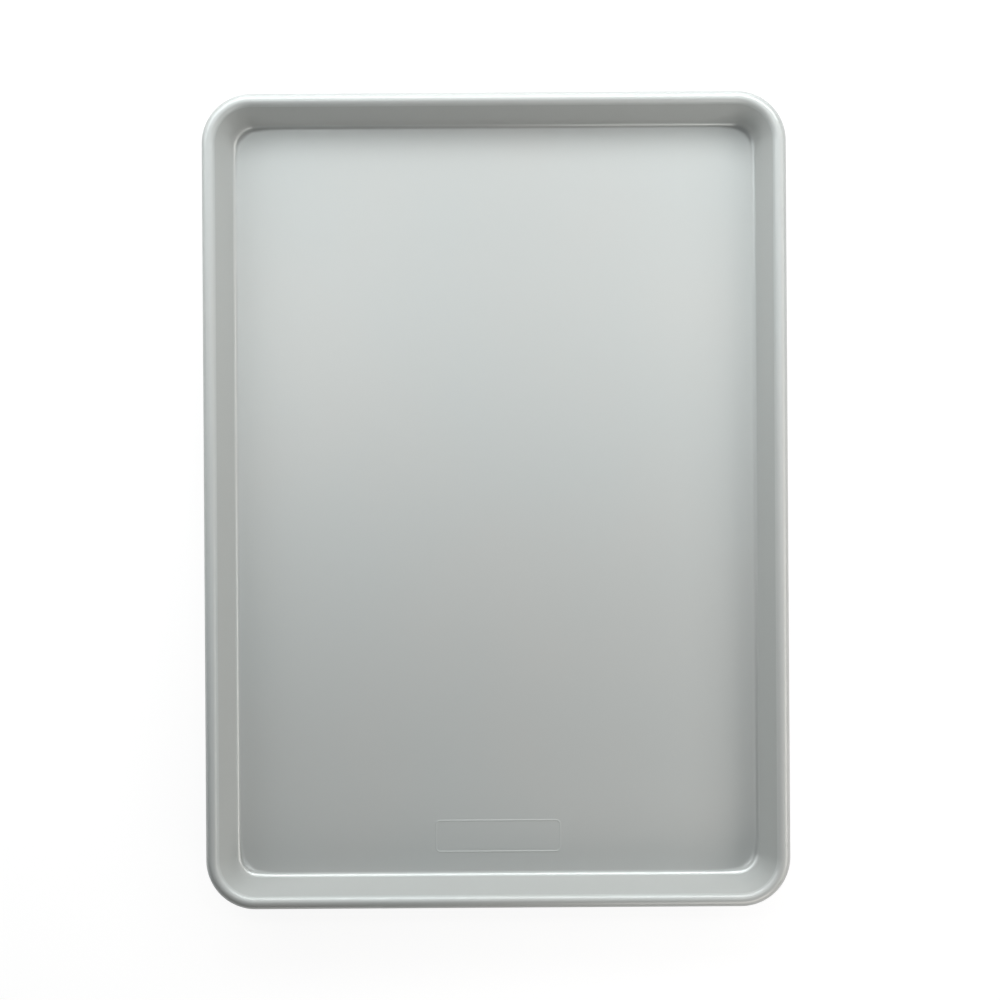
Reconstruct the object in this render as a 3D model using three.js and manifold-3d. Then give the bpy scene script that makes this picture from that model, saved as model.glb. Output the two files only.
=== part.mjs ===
// A half-size sheet pan: a tray drawn from one aluminium sheet, with its rim rolled round a steel wire.
// Millimetres, +Z up. The origin is on the ground under the middle of the tray, +X runs across the
// tray and +Y along it. The stamped frame on the floor lies towards -Y.

import * as THREE from 'three';
import Module from 'manifold-3d';

// Overall size, measured over the outside of the rolled rim.
const WIDTH = 326;
const LENGTH = 455;
const INNER_DEPTH = 25.4; // from the floor's upper face to the top of the rim

// The sheet and its bends.
const SHEET = 1.0;
const WALL_DRAFT = 22; // degrees that the walls lean out from the vertical
const COVE_RADIUS = 3.5; // upper side of the bend between floor and wall
const WALL_FOOT_CORNER_RADIUS = 12; // plan radius of the corners at the foot of the wall
const FLOOR_CORNER_RADIUS = 16.5; // plan radius of the flat floor's corners, where the cove opens out

// The rolled rim and the wire inside it.
const WIRE_DIAMETER = 4.76;
const WIRE_CLEARANCE = 0.3; // between the wire and the sheet round it
const WIRE_END_GAP = 1.5; // between the butted ends of the wire
const CURL_SLIT = 0.6; // between the sheet's raw edge and the outside of the wall

// The stamped frame: a plain raised line round a bare field, measured along the middle of the line.
const FRAME_WIDTH = 70;
const FRAME_LENGTH = 17.5;
const FRAME_CORNER_RADIUS = 2.5;
const FRAME_MARGIN = 10.7; // from the edge of the flat floor to the frame
const RIB_HEIGHT = 0.3;
const RIB_FOOT_WIDTH = 1.4;
const RIB_TOP_WIDTH = 0.7;
const GROOVE_SHARE = 0.5; // width of the groove under the rib, as a share of the rib's width

// Facets of the rounded forms.
const CORNER_STEPS = 10;
const COVE_STEPS = 5;
const CURL_STEPS = 18;
const WIRE_SIDES = 12;
const FRAME_CORNER_STEPS = 4;

// Finishes.
const PAN_COLOUR = 0xd2d5d5;
const PAN_ROUGHNESS = 0.35;
const WIRE_COLOUR = 0xa3a6a8;
const WIRE_ROUGHNESS = 0.45;
const METALNESS = 1;

const wasm = await Module();
wasm.setup();

// The section through a wall, as inset from the outside of the rim and height above the ground.
const draft = THREE.MathUtils.degToRad(WALL_DRAFT);
const leanCos = Math.cos(draft);
const leanSin = Math.sin(draft);
const boreRadius = WIRE_DIAMETER / 2 + WIRE_CLEARANCE;
const rimRadius = boreRadius + SHEET;
const curlHeight = SHEET + INNER_DEPTH - rimRadius;
const coveHeight = SHEET + COVE_RADIUS;
const wallTopInset = rimRadius + rimRadius * leanCos;
const wallTopHeight = curlHeight + rimRadius * leanSin;
const wallFootHeight = coveHeight - COVE_RADIUS * leanSin;
const wallFootInset = wallTopInset + (wallTopHeight - wallFootHeight) * Math.tan(draft);
const coveInset = wallFootInset + COVE_RADIUS * leanCos;
const rimCornerRadius = WALL_FOOT_CORNER_RADIUS + wallFootInset;

// The curl ends where the raw edge's outer corner stands CURL_SLIT away from the wall.
const curlSweep = 2 * Math.PI - Math.acos((boreRadius - CURL_SLIT) / rimRadius);

// A rounded rectangle seen from above, anticlockwise from the left end of its +Y side.
function roundedOutline(halfWidth, halfLength, radius, cornerSteps, centreY = 0) {
  const cornerX = halfWidth - radius;
  const cornerY = halfLength - radius;
  const quarter = Math.PI / 2;
  const corners = [
    [-cornerX, cornerY, quarter],
    [-cornerX, -cornerY, 2 * quarter],
    [cornerX, -cornerY, 3 * quarter],
    [cornerX, cornerY, 0],
  ];
  return corners.flatMap(([x, y, start]) =>
    new THREE.EllipseCurve(x, y + centreY, radius, radius, start, start + quarter).getPoints(cornerSteps));
}

function raise(outline, height) {
  return outline.map((point) => new THREE.Vector3(point.x, point.y, height));
}

// A closed outline that runs round the whole pan at one point of the section. The corner's radius
// is concentric with the rim, and opening goes from 0 on the wall to 1 at the edge of the floor.
function panOutline({ inset, height, opening = 0 }) {
  const radius = THREE.MathUtils.lerp(rimCornerRadius - inset, FLOOR_CORNER_RADIUS, opening);
  return raise(roundedOutline(WIDTH / 2 - inset, LENGTH / 2 - inset, radius, CORNER_STEPS), height);
}

// A skin over equal rings of points. It closes on itself, or it ends in a flat cap at either end.
function skin(rings, closed) {
  const count = rings[0].length;
  const points = rings.flat();
  const triangles = [];
  const lastPair = closed ? rings.length : rings.length - 1;
  for (let ring = 0; ring < lastPair; ring += 1) {
    const here = ring * count;
    const there = ((ring + 1) % rings.length) * count;
    for (let i = 0; i < count; i += 1) {
      const next = (i + 1) % count;
      triangles.push(here + i, there + i, there + next);
      triangles.push(here + i, there + next, here + next);
    }
  }
  if (!closed) {
    const lastRing = (rings.length - 1) * count;
    for (let i = 1; i < count - 1; i += 1) {
      triangles.push(0, i, i + 1);
      triangles.push(lastRing, lastRing + i + 1, lastRing + i);
    }
  }
  const geometry = new THREE.BufferGeometry().setFromPoints(points);
  geometry.setIndex(triangles);
  geometry.computeVertexNormals();
  return geometry;
}

function toSolid(geometry) {
  return new wasm.Manifold(new wasm.Mesh({
    numProp: 3,
    vertProperties: new Float32Array(geometry.attributes.position.array),
    triVerts: new Uint32Array(geometry.index.array),
  }));
}

function toGeometry(solid) {
  const mesh = solid.getMesh();
  const geometry = new THREE.BufferGeometry();
  geometry.setAttribute('position', new THREE.BufferAttribute(mesh.vertProperties, 3));
  geometry.setIndex(new THREE.BufferAttribute(mesh.triVerts, 1));
  geometry.computeVertexNormals();
  return geometry;
}

// One side of the bend at the wall's foot, from the edge of the floor up to the wall.
function coveSide(radius) {
  return Array.from({ length: COVE_STEPS + 1 }, (_, step) => {
    const share = step / COVE_STEPS;
    const angle = THREE.MathUtils.lerp(Math.PI / 2, draft, share);
    return {
      inset: coveInset - radius * Math.cos(angle),
      height: coveHeight - radius * Math.sin(angle),
      opening: (1 - share) ** 2,
    };
  });
}

// One side of the rolled rim, from the wall over the top and round to the raw edge.
function curlSide(radius) {
  return Array.from({ length: CURL_STEPS + 1 }, (_, step) => {
    const angle = draft + (curlSweep * step) / CURL_STEPS;
    return {
      inset: rimRadius + radius * Math.cos(angle),
      height: curlHeight + radius * Math.sin(angle),
    };
  });
}

// The bare tray: up the inside, round the rim to the raw edge, and back down the outside.
function trayGeometry() {
  const inside = [...coveSide(COVE_RADIUS), ...curlSide(rimRadius)];
  const outside = [...coveSide(COVE_RADIUS + SHEET), ...curlSide(boreRadius)];
  const section = [...inside, ...outside.reverse()];
  return skin(section.map(panOutline), false);
}

// A ring along the stamped frame's line, with sloped flanks above a straight root.
function frameRing({ topWidth, footWidth, topHeight, footHeight, rootHeight }) {
  const centreY = coveInset - LENGTH / 2 + FRAME_MARGIN + FRAME_LENGTH / 2;
  const line = (offset, height) => raise(
    roundedOutline(
      FRAME_WIDTH / 2 + offset,
      FRAME_LENGTH / 2 + offset,
      FRAME_CORNER_RADIUS + offset,
      FRAME_CORNER_STEPS,
      centreY,
    ),
    height,
  );
  return skin([
    line(-topWidth / 2, topHeight),
    line(topWidth / 2, topHeight),
    line(footWidth / 2, footHeight),
    line(footWidth / 2, rootHeight),
    line(-footWidth / 2, rootHeight),
    line(-footWidth / 2, footHeight),
  ], true);
}

// The pan's sheet: the tray with the stamped line raised on the floor and hollow underneath.
function panShell() {
  const rib = frameRing({
    topWidth: RIB_TOP_WIDTH,
    footWidth: RIB_FOOT_WIDTH,
    topHeight: SHEET + RIB_HEIGHT,
    footHeight: SHEET,
    rootHeight: SHEET / 2,
  });
  const groove = frameRing({
    topWidth: RIB_TOP_WIDTH * GROOVE_SHARE,
    footWidth: RIB_FOOT_WIDTH * GROOVE_SHARE,
    topHeight: RIB_HEIGHT,
    footHeight: 0,
    rootHeight: -RIB_HEIGHT,
  });
  const sheet = toSolid(trayGeometry()).add(toSolid(rib)).subtract(toSolid(groove));
  return toGeometry(sheet);
}

// The wire: round sections all the way round the rim, with its ends butted in the middle of the +Y side.
function rimWire() {
  const wireRadius = WIRE_DIAMETER / 2;
  const lines = Array.from({ length: WIRE_SIDES }, (_, side) => {
    const angle = (2 * Math.PI * side) / WIRE_SIDES;
    const outline = panOutline({
      inset: rimRadius - wireRadius * Math.cos(angle),
      height: curlHeight + wireRadius * Math.sin(angle),
    });
    const { y, z } = outline[0];
    const start = new THREE.Vector3(-WIRE_END_GAP / 2, y, z);
    const end = new THREE.Vector3(WIRE_END_GAP / 2, y, z);
    return [start, ...outline, end];
  });
  const sections = lines[0].map((_, station) => lines.map((line) => line[station]));
  return skin(sections, false);
}

function metalPiece(name, geometry, color, roughness) {
  const material = new THREE.MeshStandardMaterial({ color, roughness, metalness: METALNESS });
  const piece = new THREE.Mesh(geometry, material);
  piece.name = name;
  return piece;
}

const sheetPan = new THREE.Group();
sheetPan.add(metalPiece('pan_shell', panShell(), PAN_COLOUR, PAN_ROUGHNESS));
sheetPan.add(metalPiece('rim_wire', rimWire(), WIRE_COLOUR, WIRE_ROUGHNESS));

export default sheetPan;
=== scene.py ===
# %% [markdown]
# # A sheet pan in satin aluminium
# A sheet pan is made of two things: one sheet of aluminium drawn into a shallow tray, and a steel
# wire that the sheet's edge is rolled round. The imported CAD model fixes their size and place, with
# few and flat facets. This lesson builds the same two pieces again as fine meshes, gives each its
# finish, and photographs them from above in soft light.

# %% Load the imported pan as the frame
import math

import bmesh
import bpy
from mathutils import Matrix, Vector, noise


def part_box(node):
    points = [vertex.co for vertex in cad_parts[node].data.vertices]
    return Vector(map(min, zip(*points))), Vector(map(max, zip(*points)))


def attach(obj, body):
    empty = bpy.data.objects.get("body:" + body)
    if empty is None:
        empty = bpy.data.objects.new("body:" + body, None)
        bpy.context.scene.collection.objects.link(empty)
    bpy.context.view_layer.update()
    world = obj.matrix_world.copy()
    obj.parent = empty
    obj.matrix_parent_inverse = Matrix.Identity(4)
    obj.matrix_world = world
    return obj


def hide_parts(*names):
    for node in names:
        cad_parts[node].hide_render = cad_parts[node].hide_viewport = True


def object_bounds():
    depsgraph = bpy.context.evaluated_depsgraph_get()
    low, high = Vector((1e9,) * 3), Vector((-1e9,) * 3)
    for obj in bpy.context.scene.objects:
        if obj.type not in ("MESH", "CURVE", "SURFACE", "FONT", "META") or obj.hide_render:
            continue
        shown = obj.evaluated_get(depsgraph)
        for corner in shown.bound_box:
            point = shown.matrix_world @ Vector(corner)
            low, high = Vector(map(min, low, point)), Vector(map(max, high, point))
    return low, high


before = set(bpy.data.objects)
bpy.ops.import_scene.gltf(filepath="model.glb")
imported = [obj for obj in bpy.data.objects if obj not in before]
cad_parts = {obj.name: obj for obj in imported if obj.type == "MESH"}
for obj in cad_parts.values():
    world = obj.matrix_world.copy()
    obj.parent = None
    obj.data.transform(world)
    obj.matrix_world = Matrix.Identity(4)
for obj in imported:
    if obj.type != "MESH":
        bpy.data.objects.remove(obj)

MM = 0.001
CAD_LOW, CAD_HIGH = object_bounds()
print("CAD pan, mm:", [round(side / MM, 2) for side in CAD_HIGH - CAD_LOW])

# %% [markdown]
# ## The camera
# The photograph looks straight down, and the walls show about equally on all four sides, so the
# camera hangs over the middle of the pan. A long lens from two metres up keeps the perspective as
# weak as it is there. The lens follows from how many pixels the rim spans, and the pan's small turn
# in the picture is made by rolling the camera, because the pan itself stays in its frame.

# %% Camera
PICTURE_PIXELS = 1000
PAN_WIDTH_PIXELS = 584.0
PAN_CENTRE_PIXEL = (496.0, 500.1)
PAN_TURN = math.radians(0.367)
CAMERA_OVER_RIM = 2.2

wire_low, wire_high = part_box("rim_wire")
wire_radius = (wire_high.z - wire_low.z) / 2
rim_centre_height = (wire_high.z + wire_low.z) / 2
metres_per_pixel = (CAD_HIGH.x - CAD_LOW.x) / PAN_WIDTH_PIXELS

camera_data = bpy.data.cameras.new("overhead_camera")
camera_data.lens = camera_data.sensor_width * CAMERA_OVER_RIM / (PICTURE_PIXELS * metres_per_pixel)
camera = bpy.data.objects.new("overhead_camera", camera_data)
camera.location = (
    (PICTURE_PIXELS / 2 - PAN_CENTRE_PIXEL[0]) * metres_per_pixel,
    (PAN_CENTRE_PIXEL[1] - PICTURE_PIXELS / 2) * metres_per_pixel,
    rim_centre_height + CAMERA_OVER_RIM,
)
camera.rotation_euler = (0, 0, -PAN_TURN)
bpy.context.scene.collection.objects.link(camera)
bpy.context.scene.camera = camera
print("lens, mm:", round(camera_data.lens, 1))

# %% [markdown]
# ## The section through a wall
# Every wall of the pan has the same section: flat floor, a bend called the cove, a straight wall that
# leans out, and a rim that curls outwards and under until the raw edge nearly meets the wall again.
# Drawing this one line well is most of the work. A point of it is kept as its inset from the outside
# of the rim and its height. In the corners the sheet is drawn both ways at once and can't bend as
# tightly, so the cove's radius grows there, and that gives the floor its wide round corners.

# %% Sizes of the sheet and its bends
SHEET = 1.0 * MM
WALL_DRAFT = math.radians(22)
COVE_RADIUS = 3.5 * MM
CORNER_COVE_RADIUS = 8.5 * MM
CORNER_REACH = 12 * MM
WALL_FOOT_CORNER_RADIUS = 12 * MM
WIRE_CLEARANCE = 0.3 * MM
CURL_SLIT = 0.6 * MM

half_width = CAD_HIGH.x
half_length = CAD_HIGH.y
bore_radius = wire_radius + WIRE_CLEARANCE
rim_radius = bore_radius + SHEET
wall_top_inset = rim_radius * (1 + math.cos(WALL_DRAFT))
wall_top_height = rim_centre_height + rim_radius * math.sin(WALL_DRAFT)
curl_sweep = 2 * math.pi - math.acos((bore_radius - CURL_SLIT) / rim_radius)
print("rolled rim, mm across:", round(2 * rim_radius / MM, 2))


# %% Points of the section
def cove_point(cove_radius, share, depth):
    """The bend's inset and height, from the floor at share 0 to the wall's foot at share 1."""
    angle = math.pi / 2 + (WALL_DRAFT - math.pi / 2) * share
    centre_height = SHEET + cove_radius
    foot_height = centre_height - cove_radius * math.sin(WALL_DRAFT)
    foot_inset = wall_top_inset + (wall_top_height - foot_height) * math.tan(WALL_DRAFT)
    centre_inset = foot_inset + cove_radius * math.cos(WALL_DRAFT)
    radius = cove_radius + depth
    return centre_inset - radius * math.cos(angle), centre_height - radius * math.sin(angle)


def curl_point(share, depth):
    """The rolled rim's inset and height, from the wall at share 0 to the raw edge at share 1."""
    angle = WALL_DRAFT + curl_sweep * share
    radius = rim_radius - depth
    return rim_radius + radius * math.cos(angle), rim_centre_height + radius * math.sin(angle)


cove_inset, _ = cove_point(COVE_RADIUS, 0.0, 0.0)
wall_foot_inset, wall_foot_height = cove_point(COVE_RADIUS, 1.0, 0.0)
rim_corner_radius = WALL_FOOT_CORNER_RADIUS + wall_foot_inset
print("flat floor, mm:", round(2 * (half_width - cove_inset) / MM, 1), "by",
      round(2 * (half_length - cove_inset) / MM, 1))

# %% [markdown]
# ## Stations round the pan
# Each section point travels once round the pan, past the same stations: along the four sides, and
# round the four corners about a centre. Rings with equal numbers of stations can be joined by plain
# quads, so one function lays them out for everything here, from the rim to the small stamped frame.
# A station also says how much it is in a corner, which is what widens the cove there.

# %% Stations
CORNER_STEPS = 24
LONG_SIDE_STEPS = 36
SHORT_SIDE_STEPS = 26


def cornering(away):
    """1 in the middle of a corner, a half at its ends, and 0 along the side."""
    return math.cos(math.pi / 4 * min(away, 2.0)) ** 2


def round_stations(across, along):
    """From the left end of the +Y side: the centre to turn about, the way out, and the cornering."""
    signs = ((-1, 1), (-1, -1), (1, -1), (1, 1))
    centres = [Vector((across * x, along * y)) for x, y in signs]
    stations = []
    for index, centre in enumerate(centres):
        for step in range(CORNER_STEPS + 1):
            share = step / CORNER_STEPS
            angle = math.pi / 2 * (1 + index + share)
            outward = Vector((math.cos(angle), math.sin(angle)))
            stations.append((centre, outward, cornering(abs(2 * share - 1))))
        following = centres[(index + 1) % len(centres)]
        side = (following - centre).length
        steps = SHORT_SIDE_STEPS if index % 2 else LONG_SIDE_STEPS
        for step in range(1, steps):
            share = 0.5 - 0.5 * math.cos(math.pi * step / steps)
            to_corner = side * min(share, 1 - share)
            stations.append((centre.lerp(following, share), outward, cornering(1 + to_corner / CORNER_REACH)))
    return stations


pan_stations = round_stations(half_width - rim_corner_radius, half_length - rim_corner_radius)
print("stations round the pan:", len(pan_stations))


# %% Rings round the pan
COVE_STEPS = 14
CURL_STEPS = 44


def point_at(station, inset, height):
    centre, outward, _ = station
    spot = centre + outward * (rim_corner_radius - inset)
    return Vector((spot.x, spot.y, height))


def cove_ring(share, depth):
    ring = []
    for station in pan_stations:
        _, _, in_corner = station
        radius = COVE_RADIUS + (CORNER_COVE_RADIUS - COVE_RADIUS) * in_corner
        ring.append(point_at(station, *cove_point(radius, share, depth)))
    return ring


def wall_rings(depth):
    """Rings over one face of the sheet, from the floor's edge to the raw edge; depth is 0 for the upper."""
    coves = [cove_ring(step / COVE_STEPS, depth) for step in range(COVE_STEPS + 1)]
    curls = [curl_point(step / CURL_STEPS, depth) for step in range(CURL_STEPS + 1)]
    return coves + [[point_at(station, *point) for station in pan_stations] for point in curls]


floor_edge = [point.xy for point in cove_ring(0.0, 0.0)]
print("rings on each face of the wall:", len(wall_rings(0.0)))

# %% [markdown]
# ## The floor and its stamped frame
# The floor of a drawn pan is never quite flat: it swells by a few hundredths of a millimetre, which
# is enough to make a soft reflection drift. Noise gives that swell, and it fades out at the cove.
# Near one end a die has pressed a plain rectangular line up into the sheet. A bump map could fake it,
# but real geometry catches light on its flanks and shows underneath too, so the floor's rings are
# laid round the frame, and the rings on the line itself are lifted by a smooth bump.

# %% Floor swell
SWELL_HEIGHT = 0.1 * MM
SWELL_LENGTH = 95 * MM
SWELL_FADE = 45 * MM


def floor_swell(point):
    to_edge = min(half_width - cove_inset - abs(point.x), half_length - cove_inset - abs(point.y))
    fade = min(max(to_edge / SWELL_FADE, 0.0), 1.0)
    wave = noise.noise(Vector((point.x, point.y, 0.0)) / SWELL_LENGTH)
    return SWELL_HEIGHT * fade * fade * (3 - 2 * fade) * (0.5 + 0.5 * wave)


print("swell in the middle, mm:", round(floor_swell(Vector((0, 0))) / MM, 3))

# %% Stamped frame and floor rings, from the middle of the frame outwards
FRAME_WIDTH = 70 * MM
FRAME_LENGTH = 17.5 * MM
FRAME_CORNER_RADIUS = 2.5 * MM
FRAME_MARGIN = 10.7 * MM
RIB_HEIGHT = 0.12 * MM
RIB_WIDTH = 1.2 * MM
RIB_STEPS = 10
RIB_APRON = 0.4 * MM
FIELD_SHARES = (0.06, 0.3, 0.6, 0.85)
FLOOR_RINGS = 48

frame_centre_y = cove_inset - half_length + FRAME_MARGIN + FRAME_LENGTH / 2


def frame_outline(offset):
    """A line round the frame, some way out from the middle of the stamped line."""
    corners = round_stations(FRAME_WIDTH / 2 - FRAME_CORNER_RADIUS, FRAME_LENGTH / 2 - FRAME_CORNER_RADIUS)
    middle = Vector((0.0, frame_centre_y))
    return [middle + centre + outward * (FRAME_CORNER_RADIUS + offset) for centre, outward, _ in corners]


def floor_rings():
    """Pairs of an outline and the height that stamping gives it."""
    middle = Vector((0.0, frame_centre_y))
    field_edge = frame_outline(-RIB_WIDTH / 2 - RIB_APRON)
    floor_start = frame_outline(RIB_WIDTH / 2 + RIB_APRON)
    rings = [([middle.lerp(point, share) for point in field_edge], 0.0) for share in FIELD_SHARES]
    rings.append((field_edge, 0.0))
    for step in range(RIB_STEPS + 1):
        share = step / RIB_STEPS
        bump = RIB_HEIGHT * math.sin(math.pi * share) ** 2
        rings.append((frame_outline(RIB_WIDTH * (share - 0.5)), bump))
    for step in range(FLOOR_RINGS):
        share = 0.5 - 0.5 * math.cos(math.pi * step / FLOOR_RINGS)
        rings.append(([a.lerp(b, share) for a, b in zip(floor_start, floor_edge)], 0.0))
    return rings


def floor_skin(face_height):
    return [
        [Vector((point.x, point.y, face_height + lift + floor_swell(point))) for point in outline]
        for outline, lift in floor_rings()
    ]


print("rings on each face of the floor:", len(floor_rings()))

# %% [markdown]
# ## The pan's sheet
# A skin over rings is the simplest honest way to make sheet metal: walk the section from the middle
# of the floor, up the inside, round the curl to the raw edge, and back along the other face, and join
# each ring to the next. The sheet then has its true thickness everywhere. Smooth shading hides the
# quads, and edges sharper than a threshold, such as the raw edge, stay crisp.

# %% Skin over rings
SHARP_ANGLE = math.radians(40)


def skin(name, rings):
    """A closed mesh over equal rings of points, with a flat face over the first and the last."""
    mesh = bpy.data.meshes.new(name)
    build = bmesh.new()
    rows = [[build.verts.new(point) for point in ring] for ring in rings]
    for here, there in zip(rows, rows[1:]):
        for index in range(len(here)):
            after = (index + 1) % len(here)
            build.faces.new((here[index], there[index], there[after], here[after]))
    build.faces.new(rows[0])
    build.faces.new(rows[-1][::-1])
    build.to_mesh(mesh)
    build.free()
    mesh.shade_smooth()
    mesh.set_sharp_from_angle(angle=SHARP_ANGLE)
    piece = bpy.data.objects.new(name, mesh)
    bpy.context.scene.collection.objects.link(piece)
    return piece


upper_rings = floor_skin(SHEET) + wall_rings(0.0)
lower_rings = floor_skin(0.0) + wall_rings(SHEET)
pan = skin("satin_pan", upper_rings + lower_rings[::-1])
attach(pan, "root")
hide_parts("pan_shell")
print("pan faces:", len(pan.data.polygons))

# %% [markdown]
# ## The wire in the rim
# The wire is a plain round rod bent to the rim's outline, and its two cut ends butt in the middle of
# one short side. It hides in the curl, and only a sliver shows through the slit from below. It is
# swept past the same stations, and its ends are chamfered as a cropped rod's are.

# %% Rim wire
WIRE_SIDES = 24
WIRE_END_GAP = 1.5 * MM
WIRE_CHAMFER = 0.3 * MM


def wire_section(station, radius):
    """Points round the wire where it passes a station."""
    points = []
    for side in range(WIRE_SIDES):
        angle = 2 * math.pi * side / WIRE_SIDES
        inset = rim_radius - radius * math.cos(angle)
        points.append(point_at(station, inset, rim_centre_height + radius * math.sin(angle)))
    return points


def on_far_side(x):
    return Vector((x, half_length - rim_corner_radius)), Vector((0.0, 1.0)), 0.0


tip_x = WIRE_END_GAP / 2
body_x = tip_x + WIRE_CHAMFER
tip_radius = wire_radius - WIRE_CHAMFER
wire_stations = pan_stations[:1 - SHORT_SIDE_STEPS]
wire_rings = [wire_section(on_far_side(-tip_x), tip_radius), wire_section(on_far_side(-body_x), wire_radius)]
wire_rings += [wire_section(station, wire_radius) for station in wire_stations]
wire_rings += [wire_section(on_far_side(body_x), wire_radius), wire_section(on_far_side(tip_x), tip_radius)]
wire = skin("galvanised_rim_wire", wire_rings)
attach(wire, "root")
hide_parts("rim_wire")
print("wire faces:", len(wire.data.polygons))

# %% [markdown]
# ## Shared finish effects
# Both metals carry the marks of how they were made and used: streaks from the rolling mill or the
# drawing die, hairline scratches from handling, and a slow drift of tint. An effect that two materials
# share is a node group with named sockets, so it is built once and each material sets its own scale.

# %% Helpers for node groups


def node_group(name, inputs, output, kind):
    """A shader node group with one output, and its input and output nodes."""
    group = bpy.data.node_groups.new(name, "ShaderNodeTree")
    for socket, socket_kind in inputs.items():
        group.interface.new_socket(socket, in_out="INPUT", socket_type=socket_kind)
    group.interface.new_socket(output, in_out="OUTPUT", socket_type=kind)
    return group, group.nodes.new("NodeGroupInput"), group.nodes.new("NodeGroupOutput")


def stretched_noise(tree, position, stretch, detail):
    """Noise over a position that is scaled along each axis: a fixed stretch or another socket."""
    scaled = tree.nodes.new("ShaderNodeVectorMath")
    scaled.operation = "MULTIPLY"
    tree.links.new(position, scaled.inputs[0])
    if isinstance(stretch, tuple):
        scaled.inputs[1].default_value = stretch
    else:
        tree.links.new(stretch, scaled.inputs[1])
    texture = tree.nodes.new("ShaderNodeTexNoise")
    texture.inputs["Scale"].default_value = 1.0
    texture.inputs["Detail"].default_value = detail
    tree.links.new(scaled.outputs["Vector"], texture.inputs["Vector"])
    return texture.outputs["Fac"]


def remap(tree, value, low, high, new_low, new_high):
    """A value's range from low to high mapped to a new one, and held at its ends."""
    node = tree.nodes.new("ShaderNodeMapRange")
    for socket, number in zip(("From Min", "From Max", "To Min", "To Max"), (low, high, new_low, new_high)):
        node.inputs[socket].default_value = number
    tree.links.new(value, node.inputs["Value"])
    return node.outputs["Result"]


def combine(tree, operation, first, second=None):
    """One sum, product or the like of two sockets, of a socket and a number, or of one socket alone."""
    node = tree.nodes.new("ShaderNodeMath")
    node.operation = operation
    tree.links.new(first, node.inputs[0])
    if isinstance(second, float):
        node.inputs[1].default_value = second
    elif second is not None:
        tree.links.new(second, node.inputs[1])
    return node.outputs["Value"]


# %% Streaks, hairline scratches and tint
VECTOR = "NodeSocketVector"
COLOUR = "NodeSocketColor"
VALUE = "NodeSocketFloat"
STREAK_DETAIL = 3.0
HAIRLINE_WIDTH = 0.012
SCRATCHED_PATCHES = (60.0, 35.0, 60.0)
SCRATCHED_ABOVE = (0.56, 0.66)
TINT_DETAIL = 2.0
TINT_RANGE = (0.3, 0.7)


def make_streak_group():
    """Fine parallel streaks; Stretch gives the streaks per metre along X, Y and Z."""
    group, given, result = node_group(
        "mill_streaks", {"Position": VECTOR, "Stretch": VECTOR}, "Streak", VALUE)
    streak = stretched_noise(group, given.outputs["Position"], given.outputs["Stretch"], STREAK_DETAIL)
    group.links.new(streak, result.inputs["Streak"])
    return group


def make_scratch_group():
    """Sparse hairlines: the middle contour of stretched noise, kept only in scattered patches."""
    group, given, result = node_group(
        "hairline_scratches", {"Position": VECTOR, "Turn": VECTOR, "Stretch": VECTOR}, "Scratch", VALUE)
    turned = group.nodes.new("ShaderNodeVectorRotate")
    turned.rotation_type = "EULER_XYZ"
    group.links.new(given.outputs["Position"], turned.inputs["Vector"])
    group.links.new(given.outputs["Turn"], turned.inputs["Rotation"])
    waves = stretched_noise(group, turned.outputs["Vector"], given.outputs["Stretch"], 0.0)
    from_middle = combine(group, "ABSOLUTE", combine(group, "SUBTRACT", waves, 0.5))
    line = remap(group, from_middle, 0.0, HAIRLINE_WIDTH, 1.0, 0.0)
    patches = stretched_noise(group, turned.outputs["Vector"], SCRATCHED_PATCHES, 1.0)
    kept = remap(group, patches, *SCRATCHED_ABOVE, 0.0, 1.0)
    group.links.new(combine(group, "MULTIPLY", line, kept), result.inputs["Scratch"])
    return group


def make_tint_group():
    """A slow drift between two tints; Stretch gives the patches per metre."""
    group, given, result = node_group(
        "tint_drift", {"Position": VECTOR, "Stretch": VECTOR, "One": COLOUR, "Other": COLOUR}, "Tint", COLOUR)
    patches = stretched_noise(group, given.outputs["Position"], given.outputs["Stretch"], TINT_DETAIL)
    mix = group.nodes.new("ShaderNodeMix")
    mix.data_type = "RGBA"
    group.links.new(remap(group, patches, *TINT_RANGE, 0.0, 1.0), mix.inputs["Factor"])
    group.links.new(given.outputs["One"], mix.inputs["A"])
    group.links.new(given.outputs["Other"], mix.inputs["B"])
    group.links.new(mix.outputs["Result"], result.inputs["Tint"])
    return group


STREAKS = make_streak_group()
SCRATCHES = make_scratch_group()
TINTS = make_tint_group()
print("node groups:", STREAKS.name, SCRATCHES.name, TINTS.name)

# %% [markdown]
# ## Satin aluminium
# Natural aluminium sheet has a satin face: its fine roughness throws part of the light back in a
# blurred reflection, and the rest in all directions, as a matt surface does. Real metal has only the
# first, at a scale too fine to model, so Metallic stands between 0 and 1 here and adds the matt share,
# and the gloss that comes with a matt share, as on plastic, is turned down.
# Between the cove and the rim the walls are made more matt than the floor, as drawing stretches them
# and stretching roughens sheet metal. Their colour is also a darker grey than the floor's, though it is
# the same sheet: that grey is painted shade, for the shade the walls lie in. The cove shows a fine bright
# line in the photograph, so it is made smoother, as if the nose of the punch had rubbed it. Both are read
# from the photograph's tones, and aren't known facts of this pan. Mill streaks, hairlines and a slight
# drift of tint vary the sheen, and the underside, which doesn't show, is given long scuffs, as from
# sliding in and out of racks.

# %% Starting a metal


def new_metal(name):
    """A metal's material, its shader, and the position on the piece to texture by."""
    material = bpy.data.materials.new(name)
    material.use_nodes = True
    shader = material.node_tree.nodes["Principled BSDF"]
    coordinates = material.node_tree.nodes.new("ShaderNodeTexCoord")
    return material, shader, coordinates.outputs["Object"]


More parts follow.
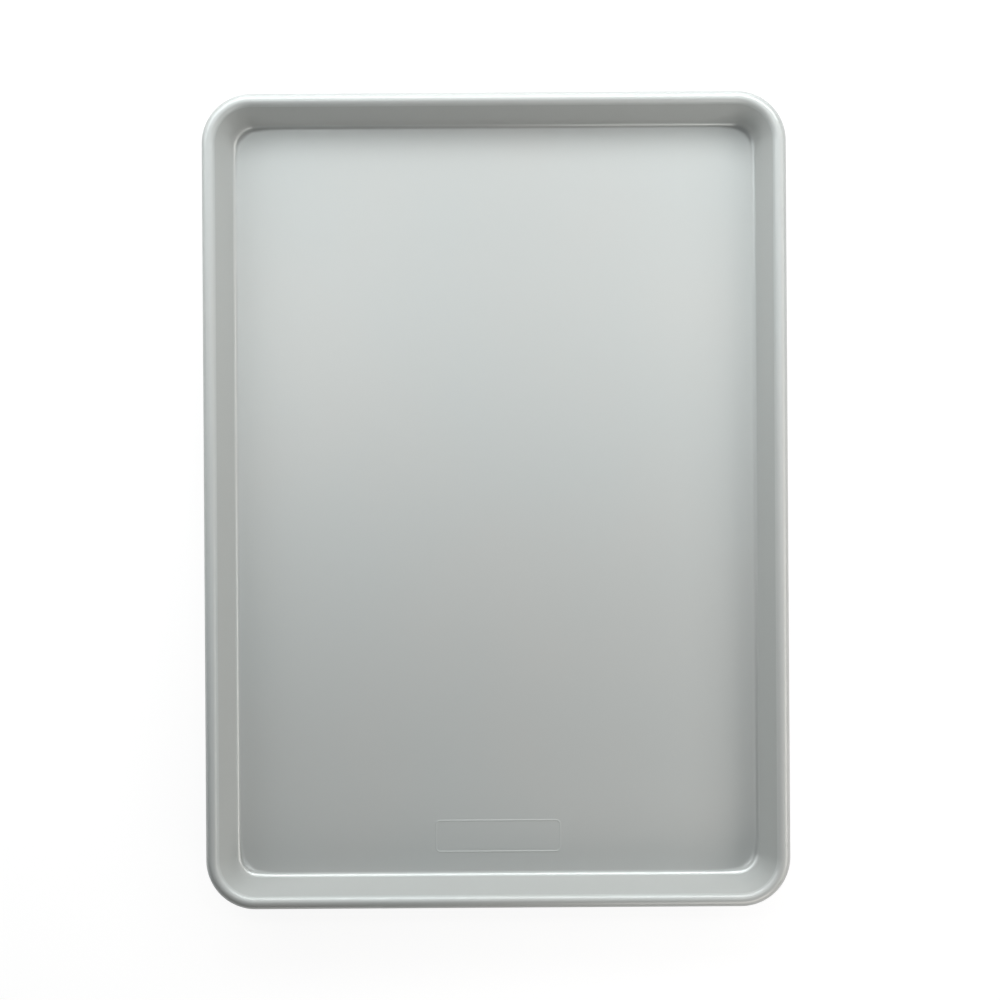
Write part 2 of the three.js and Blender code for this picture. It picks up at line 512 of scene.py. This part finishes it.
def effect(material, group, position, **values):
    """Places a shared effect in a material, and gives its output socket."""
    node = material.node_tree.nodes.new("ShaderNodeGroup")
    node.node_tree = group
    material.node_tree.links.new(position, node.inputs["Position"])
    for socket, value in values.items():
        node.inputs[socket].default_value = value
    return node.outputs[0]


def bumped(material, shader, height, depth):
    """A bump of some depth in metres, from a height between 0 and 1."""
    node = material.node_tree.nodes.new("ShaderNodeBump")
    node.inputs["Distance"].default_value = depth
    material.node_tree.links.new(height, node.inputs["Height"])
    material.node_tree.links.new(node.outputs["Normal"], shader.inputs["Normal"])


print("bumps are measured in metres, and positions too")

# %% Satin aluminium material
SATIN_COOL = (0.635, 0.665, 0.66, 1.0)
SATIN_WARM = (0.65, 0.665, 0.655, 1.0)
# painted shade: the walls get a darker grey than the floor, for the shade they lie in
PAINTED_WALL_SHADE_GREY = (0.545, 0.56, 0.55, 1.0)
WALL_BAND_EDGE = 1.0 * MM
SATIN_METALLIC = 0.28
SATIN_GLOSS = 0.15
DRAWN_METALLIC = 0.15
SATIN_ROUGHNESS = (0.36, 0.44)
BURNISHED_FROM, BURNISHED_FULLY = 0.15 * MM, 0.35 * MM
BURNISHED_EXTRA_METALLIC = 0.2
BURNISHED_SMOOTHING = 0.08
TINT_PATCHES = (9.0, 7.0, 9.0)
MILL_GRAIN = (4000.0, 120.0, 4000.0)
WORN_RANGE = (0.3, 0.7)
HAIRLINE_TURN, HAIRLINES = (0.0, 0.0, 0.6), (900.0, 14.0, 900.0)
SCUFF_TURN, SCUFFS = (0.0, 0.0, 0.05), (500.0, 6.0, 500.0)
SCUFFED_BELOW, UNSCUFFED_ABOVE = 0.3 * SHEET, 0.6 * SHEET
SATIN_BUMP = 0.001 * MM


def make_satin_aluminium():
    material, shader, position = new_metal("satin_aluminium")
    shader.inputs["Specular IOR Level"].default_value = SATIN_GLOSS
    tree = material.node_tree
    split = tree.nodes.new("ShaderNodeSeparateXYZ")
    tree.links.new(position, split.inputs["Vector"])
    height = split.outputs["Z"]
    above_cove = remap(tree, height, wall_foot_height - WALL_BAND_EDGE, wall_foot_height, 0.0, 1.0)
    below_rim = remap(tree, height, wall_top_height - WALL_BAND_EDGE, wall_top_height, 1.0, 0.0)
    # the wall band between cove and rim: more matt, and coloured with painted shade
    drawn_and_painted_shade = combine(tree, "MULTIPLY", above_cove, below_rim)
    off_floor = remap(tree, height, SHEET + BURNISHED_FROM, SHEET + BURNISHED_FULLY, 0.0, 1.0)
    burnished = combine(tree, "SUBTRACT", off_floor, above_cove)
    metallic = remap(tree, drawn_and_painted_shade, 0.0, 1.0, SATIN_METALLIC, DRAWN_METALLIC)
    extra = combine(tree, "MULTIPLY", burnished, BURNISHED_EXTRA_METALLIC)
    tree.links.new(combine(tree, "ADD", metallic, extra), shader.inputs["Metallic"])
    shade = tree.nodes.new("ShaderNodeMix")
    shade.data_type = "RGBA"
    tree.links.new(drawn_and_painted_shade, shade.inputs["Factor"])
    tint = effect(material, TINTS, position, Stretch=TINT_PATCHES, One=SATIN_COOL, Other=SATIN_WARM)
    tree.links.new(tint, shade.inputs["A"])
    # painted shade: the wall band takes the darker grey
    shade.inputs["B"].default_value = PAINTED_WALL_SHADE_GREY
    tree.links.new(shade.outputs["Result"], shader.inputs["Base Color"])

    underside = remap(tree, height, SCUFFED_BELOW, UNSCUFFED_ABOVE, 1.0, 0.0)
    hairline = effect(material, SCRATCHES, position, Turn=HAIRLINE_TURN, Stretch=HAIRLINES)
    scuff = effect(material, SCRATCHES, position, Turn=SCUFF_TURN, Stretch=SCUFFS)
    scratch = combine(tree, "MAXIMUM", hairline, combine(tree, "MULTIPLY", scuff, underside))

    streak = effect(material, STREAKS, position, Stretch=MILL_GRAIN)
    worn = combine(tree, "SUBTRACT", streak, scratch)
    rough = remap(tree, worn, *WORN_RANGE, *SATIN_ROUGHNESS)
    smoothed = combine(tree, "MULTIPLY", burnished, BURNISHED_SMOOTHING)
    tree.links.new(combine(tree, "SUBTRACT", rough, smoothed), shader.inputs["Roughness"])
    bumped(material, shader, worn, SATIN_BUMP)
    return material


pan.data.materials.append(make_satin_aluminium())
print("finish:", pan.data.materials[0].name)

# %% [markdown]
# ## Galvanised wire
# The wire is steel rod dipped in zinc. Zinc sets in dull grey grains, so its tint comes in small
# patches, and the drawing die leaves streaks along it. It takes the same three effects as the sheet,
# at its own scale. The streaks would have to bend with the wire, so they are kept short instead.

# %% Galvanised wire material
ZINC_LIGHT = (0.62, 0.64, 0.65, 1.0)
ZINC_DARK = (0.42, 0.44, 0.46, 1.0)
ZINC_METALLIC = 1.0
ZINC_ROUGHNESS = (0.42, 0.58)
ZINC_BUMP = 0.02 * MM
ZINC_GRAINS = (400.0, 400.0, 400.0)
DIE_STREAKS = (900.0, 900.0, 2500.0)
WIRE_SCRATCH_TURN, WIRE_SCRATCHES = (0.0, 0.0, 0.3), (1500.0, 90.0, 1500.0)


def make_galvanised_wire():
    material, shader, position = new_metal("galvanised_zinc")
    shader.inputs["Metallic"].default_value = ZINC_METALLIC
    tree = material.node_tree
    tint = effect(material, TINTS, position, Stretch=ZINC_GRAINS, One=ZINC_DARK, Other=ZINC_LIGHT)
    tree.links.new(tint, shader.inputs["Base Color"])
    streak = effect(material, STREAKS, position, Stretch=DIE_STREAKS)
    scratch = effect(material, SCRATCHES, position, Turn=WIRE_SCRATCH_TURN, Stretch=WIRE_SCRATCHES)
    worn = combine(tree, "SUBTRACT", streak, scratch)
    tree.links.new(remap(tree, worn, 0.0, 1.0, *ZINC_ROUGHNESS), shader.inputs["Roughness"])
    bumped(material, shader, worn, ZINC_BUMP)
    return material


wire.data.materials.append(make_galvanised_wire())
print("finish:", wire.data.materials[0].name)

# %% [markdown]
# ## The white floor
# The pan lies on plain white paper. Paper lit until it is white would need more light than the metal
# can take, so the floor is a matt grey that also glows a little for the rays that look at it: the
# camera's, and those mirrored by metal. What the lamps add on top keeps the pan's soft shadow.

# %% White floor
FLOOR_SIZE = 12.0
FLOOR_DROP = 0.2 * MM
FLOOR_GLOW = 0.9
FLOOR_MATT = (0.18, 0.18, 0.18, 1.0)


def make_floor_material():
    material = bpy.data.materials.new("white_paper")
    material.use_nodes = True
    tree = material.node_tree
    tree.nodes.remove(tree.nodes["Principled BSDF"])
    path = tree.nodes.new("ShaderNodeLightPath").outputs
    seen = combine(tree, "MAXIMUM", path["Is Camera Ray"], path["Is Glossy Ray"])
    looked_at = combine(tree, "MAXIMUM", seen, path["Is Transmission Ray"])
    glow = tree.nodes.new("ShaderNodeEmission")
    tree.links.new(combine(tree, "MULTIPLY", looked_at, FLOOR_GLOW), glow.inputs["Strength"])
    matt = tree.nodes.new("ShaderNodeBsdfDiffuse")
    matt.inputs["Color"].default_value = FLOOR_MATT
    both = tree.nodes.new("ShaderNodeAddShader")
    tree.links.new(glow.outputs["Emission"], both.inputs[0])
    tree.links.new(matt.outputs["BSDF"], both.inputs[1])
    tree.links.new(both.outputs["Shader"], tree.nodes["Material Output"].inputs["Surface"])
    return material


def make_floor():
    reach = FLOOR_SIZE / 2
    corners = [(-reach, -reach), (reach, -reach), (reach, reach), (-reach, reach)]
    mesh = bpy.data.meshes.new("studio_floor")
    mesh.from_pydata([(x, y, -FLOOR_DROP) for x, y in corners], [], [(0, 1, 2, 3)])
    mesh.materials.append(make_floor_material())
    floor = bpy.data.objects.new("studio_floor", mesh)
    bpy.context.scene.collection.objects.link(floor)
    return floor


floor = make_floor()
print("floor, m across:", FLOOR_SIZE)

# %% [markdown]
# ## The studio light
# Metal shows its surroundings, so lighting it means placing bright and dark areas for it to mirror.
# The photograph's pan is bright towards its far end and darker towards the near one, its far wall lies
# in shade and its near wall is bright. So most of the light comes from behind: three key lamps low
# behind the far wall, whose shade falls on a strip of the floor, and two small lamps over the far half.
# They stand close, because a close lamp falls off across the pan. Two softboxes further back are wide
# rather than strong: seen from the front, the floor mirrors them, and strong ones would burn it white.
# Three fills lift the walls in shade, and the cove and the rim draw them as fine bright lines.

# %% Lamps and world
WORLD_GREY = (0.02, 0.02, 0.02, 1.0)
LAMP_DISTANCE = 1.0
BROAD = (1.1, 0.5)
SHALLOW = (0.9, 0.2)
KEY = (0.45, 0.3)
CLOSE = (0.4, 0.2)
LONG = (0.7, 0.2)
OVERHEAD = (0.2, 0.16)
DAYLIGHT = (0.976, 1.0, 1.0)
WARM_WHITE = (1.0, 0.96, 0.92)
PAN_MIDDLE = (0, 0, 0)
FAR_OF_MIDDLE = (0, 0.05, 0)


def softbox(name, place, aim, size, radiance, tint):
    """A rectangular lamp of even radiance at a place, facing the point aim."""
    data = bpy.data.lights.new(name, "AREA")
    data.shape = "RECTANGLE"
    data.size, data.size_y = size
    data.energy = radiance * math.pi * size[0] * size[1]
    data.color = tint
    lamp = bpy.data.objects.new(name, data)
    lamp.location = place
    lamp.rotation_euler = (Vector(aim) - Vector(place)).to_track_quat("-Z", "Y").to_euler()
    lamp.visible_camera = False
    bpy.context.scene.collection.objects.link(lamp)
    return lamp


def standing_softbox(name, turn, rise, size, radiance):
    """A softbox a metre away: turned in degrees from +X towards +Y, and raised above the floor."""
    around, up = math.radians(turn), math.radians(rise)
    facing = Vector((math.cos(up) * math.cos(around), math.cos(up) * math.sin(around), math.sin(up)))
    return softbox(name, LAMP_DISTANCE * facing, PAN_MIDDLE, size, radiance, DAYLIGHT)


def hanging_softbox(name, x, y, radiance):
    return softbox(name, (x, y, LAMP_DISTANCE), (x, y, 0), OVERHEAD, radiance, DAYLIGHT)


lamps = [
    softbox("key_softbox", (0, 0.6, 0.52), FAR_OF_MIDDLE, KEY, 3.4, DAYLIGHT),
    softbox("left_key_softbox", (-0.3, 0.5, 0.38), FAR_OF_MIDDLE, CLOSE, 2.3, DAYLIGHT),
    softbox("right_key_softbox", (0.3, 0.5, 0.38), FAR_OF_MIDDLE, CLOSE, 5.5, DAYLIGHT),
    hanging_softbox("overhead_left_softbox", -0.2, 0.16, 6.8),
    hanging_softbox("overhead_right_softbox", 0.2, 0.16, 5.5),
    standing_softbox("back_left_softbox", 135, 28, BROAD, 2.0),
    standing_softbox("low_back_softbox", 90, 10, SHALLOW, 3.0),
    softbox("left_fill", (-0.5, 0.1, 0.3), PAN_MIDDLE, CLOSE, 0.9, DAYLIGHT),
    softbox("right_fill", (0.5, -0.05, 0.3), PAN_MIDDLE, LONG, 2.5, WARM_WHITE),
    softbox("front_fill", (0.25, -0.6, 0.3), PAN_MIDDLE, CLOSE, 3.2, WARM_WHITE),
]
world = bpy.data.worlds.new("grey_studio")
world.use_nodes = True
world.node_tree.nodes["Background"].inputs["Color"].default_value = WORLD_GREY
bpy.context.scene.world = world
print("lamps:", ", ".join(lamp.name for lamp in lamps))

# %% [markdown]
# ## The view transform
# The view transform is set to Standard, so that a colour shows about as it is written.

# %% View transform
bpy.context.scene.view_settings.view_transform = "Standard"
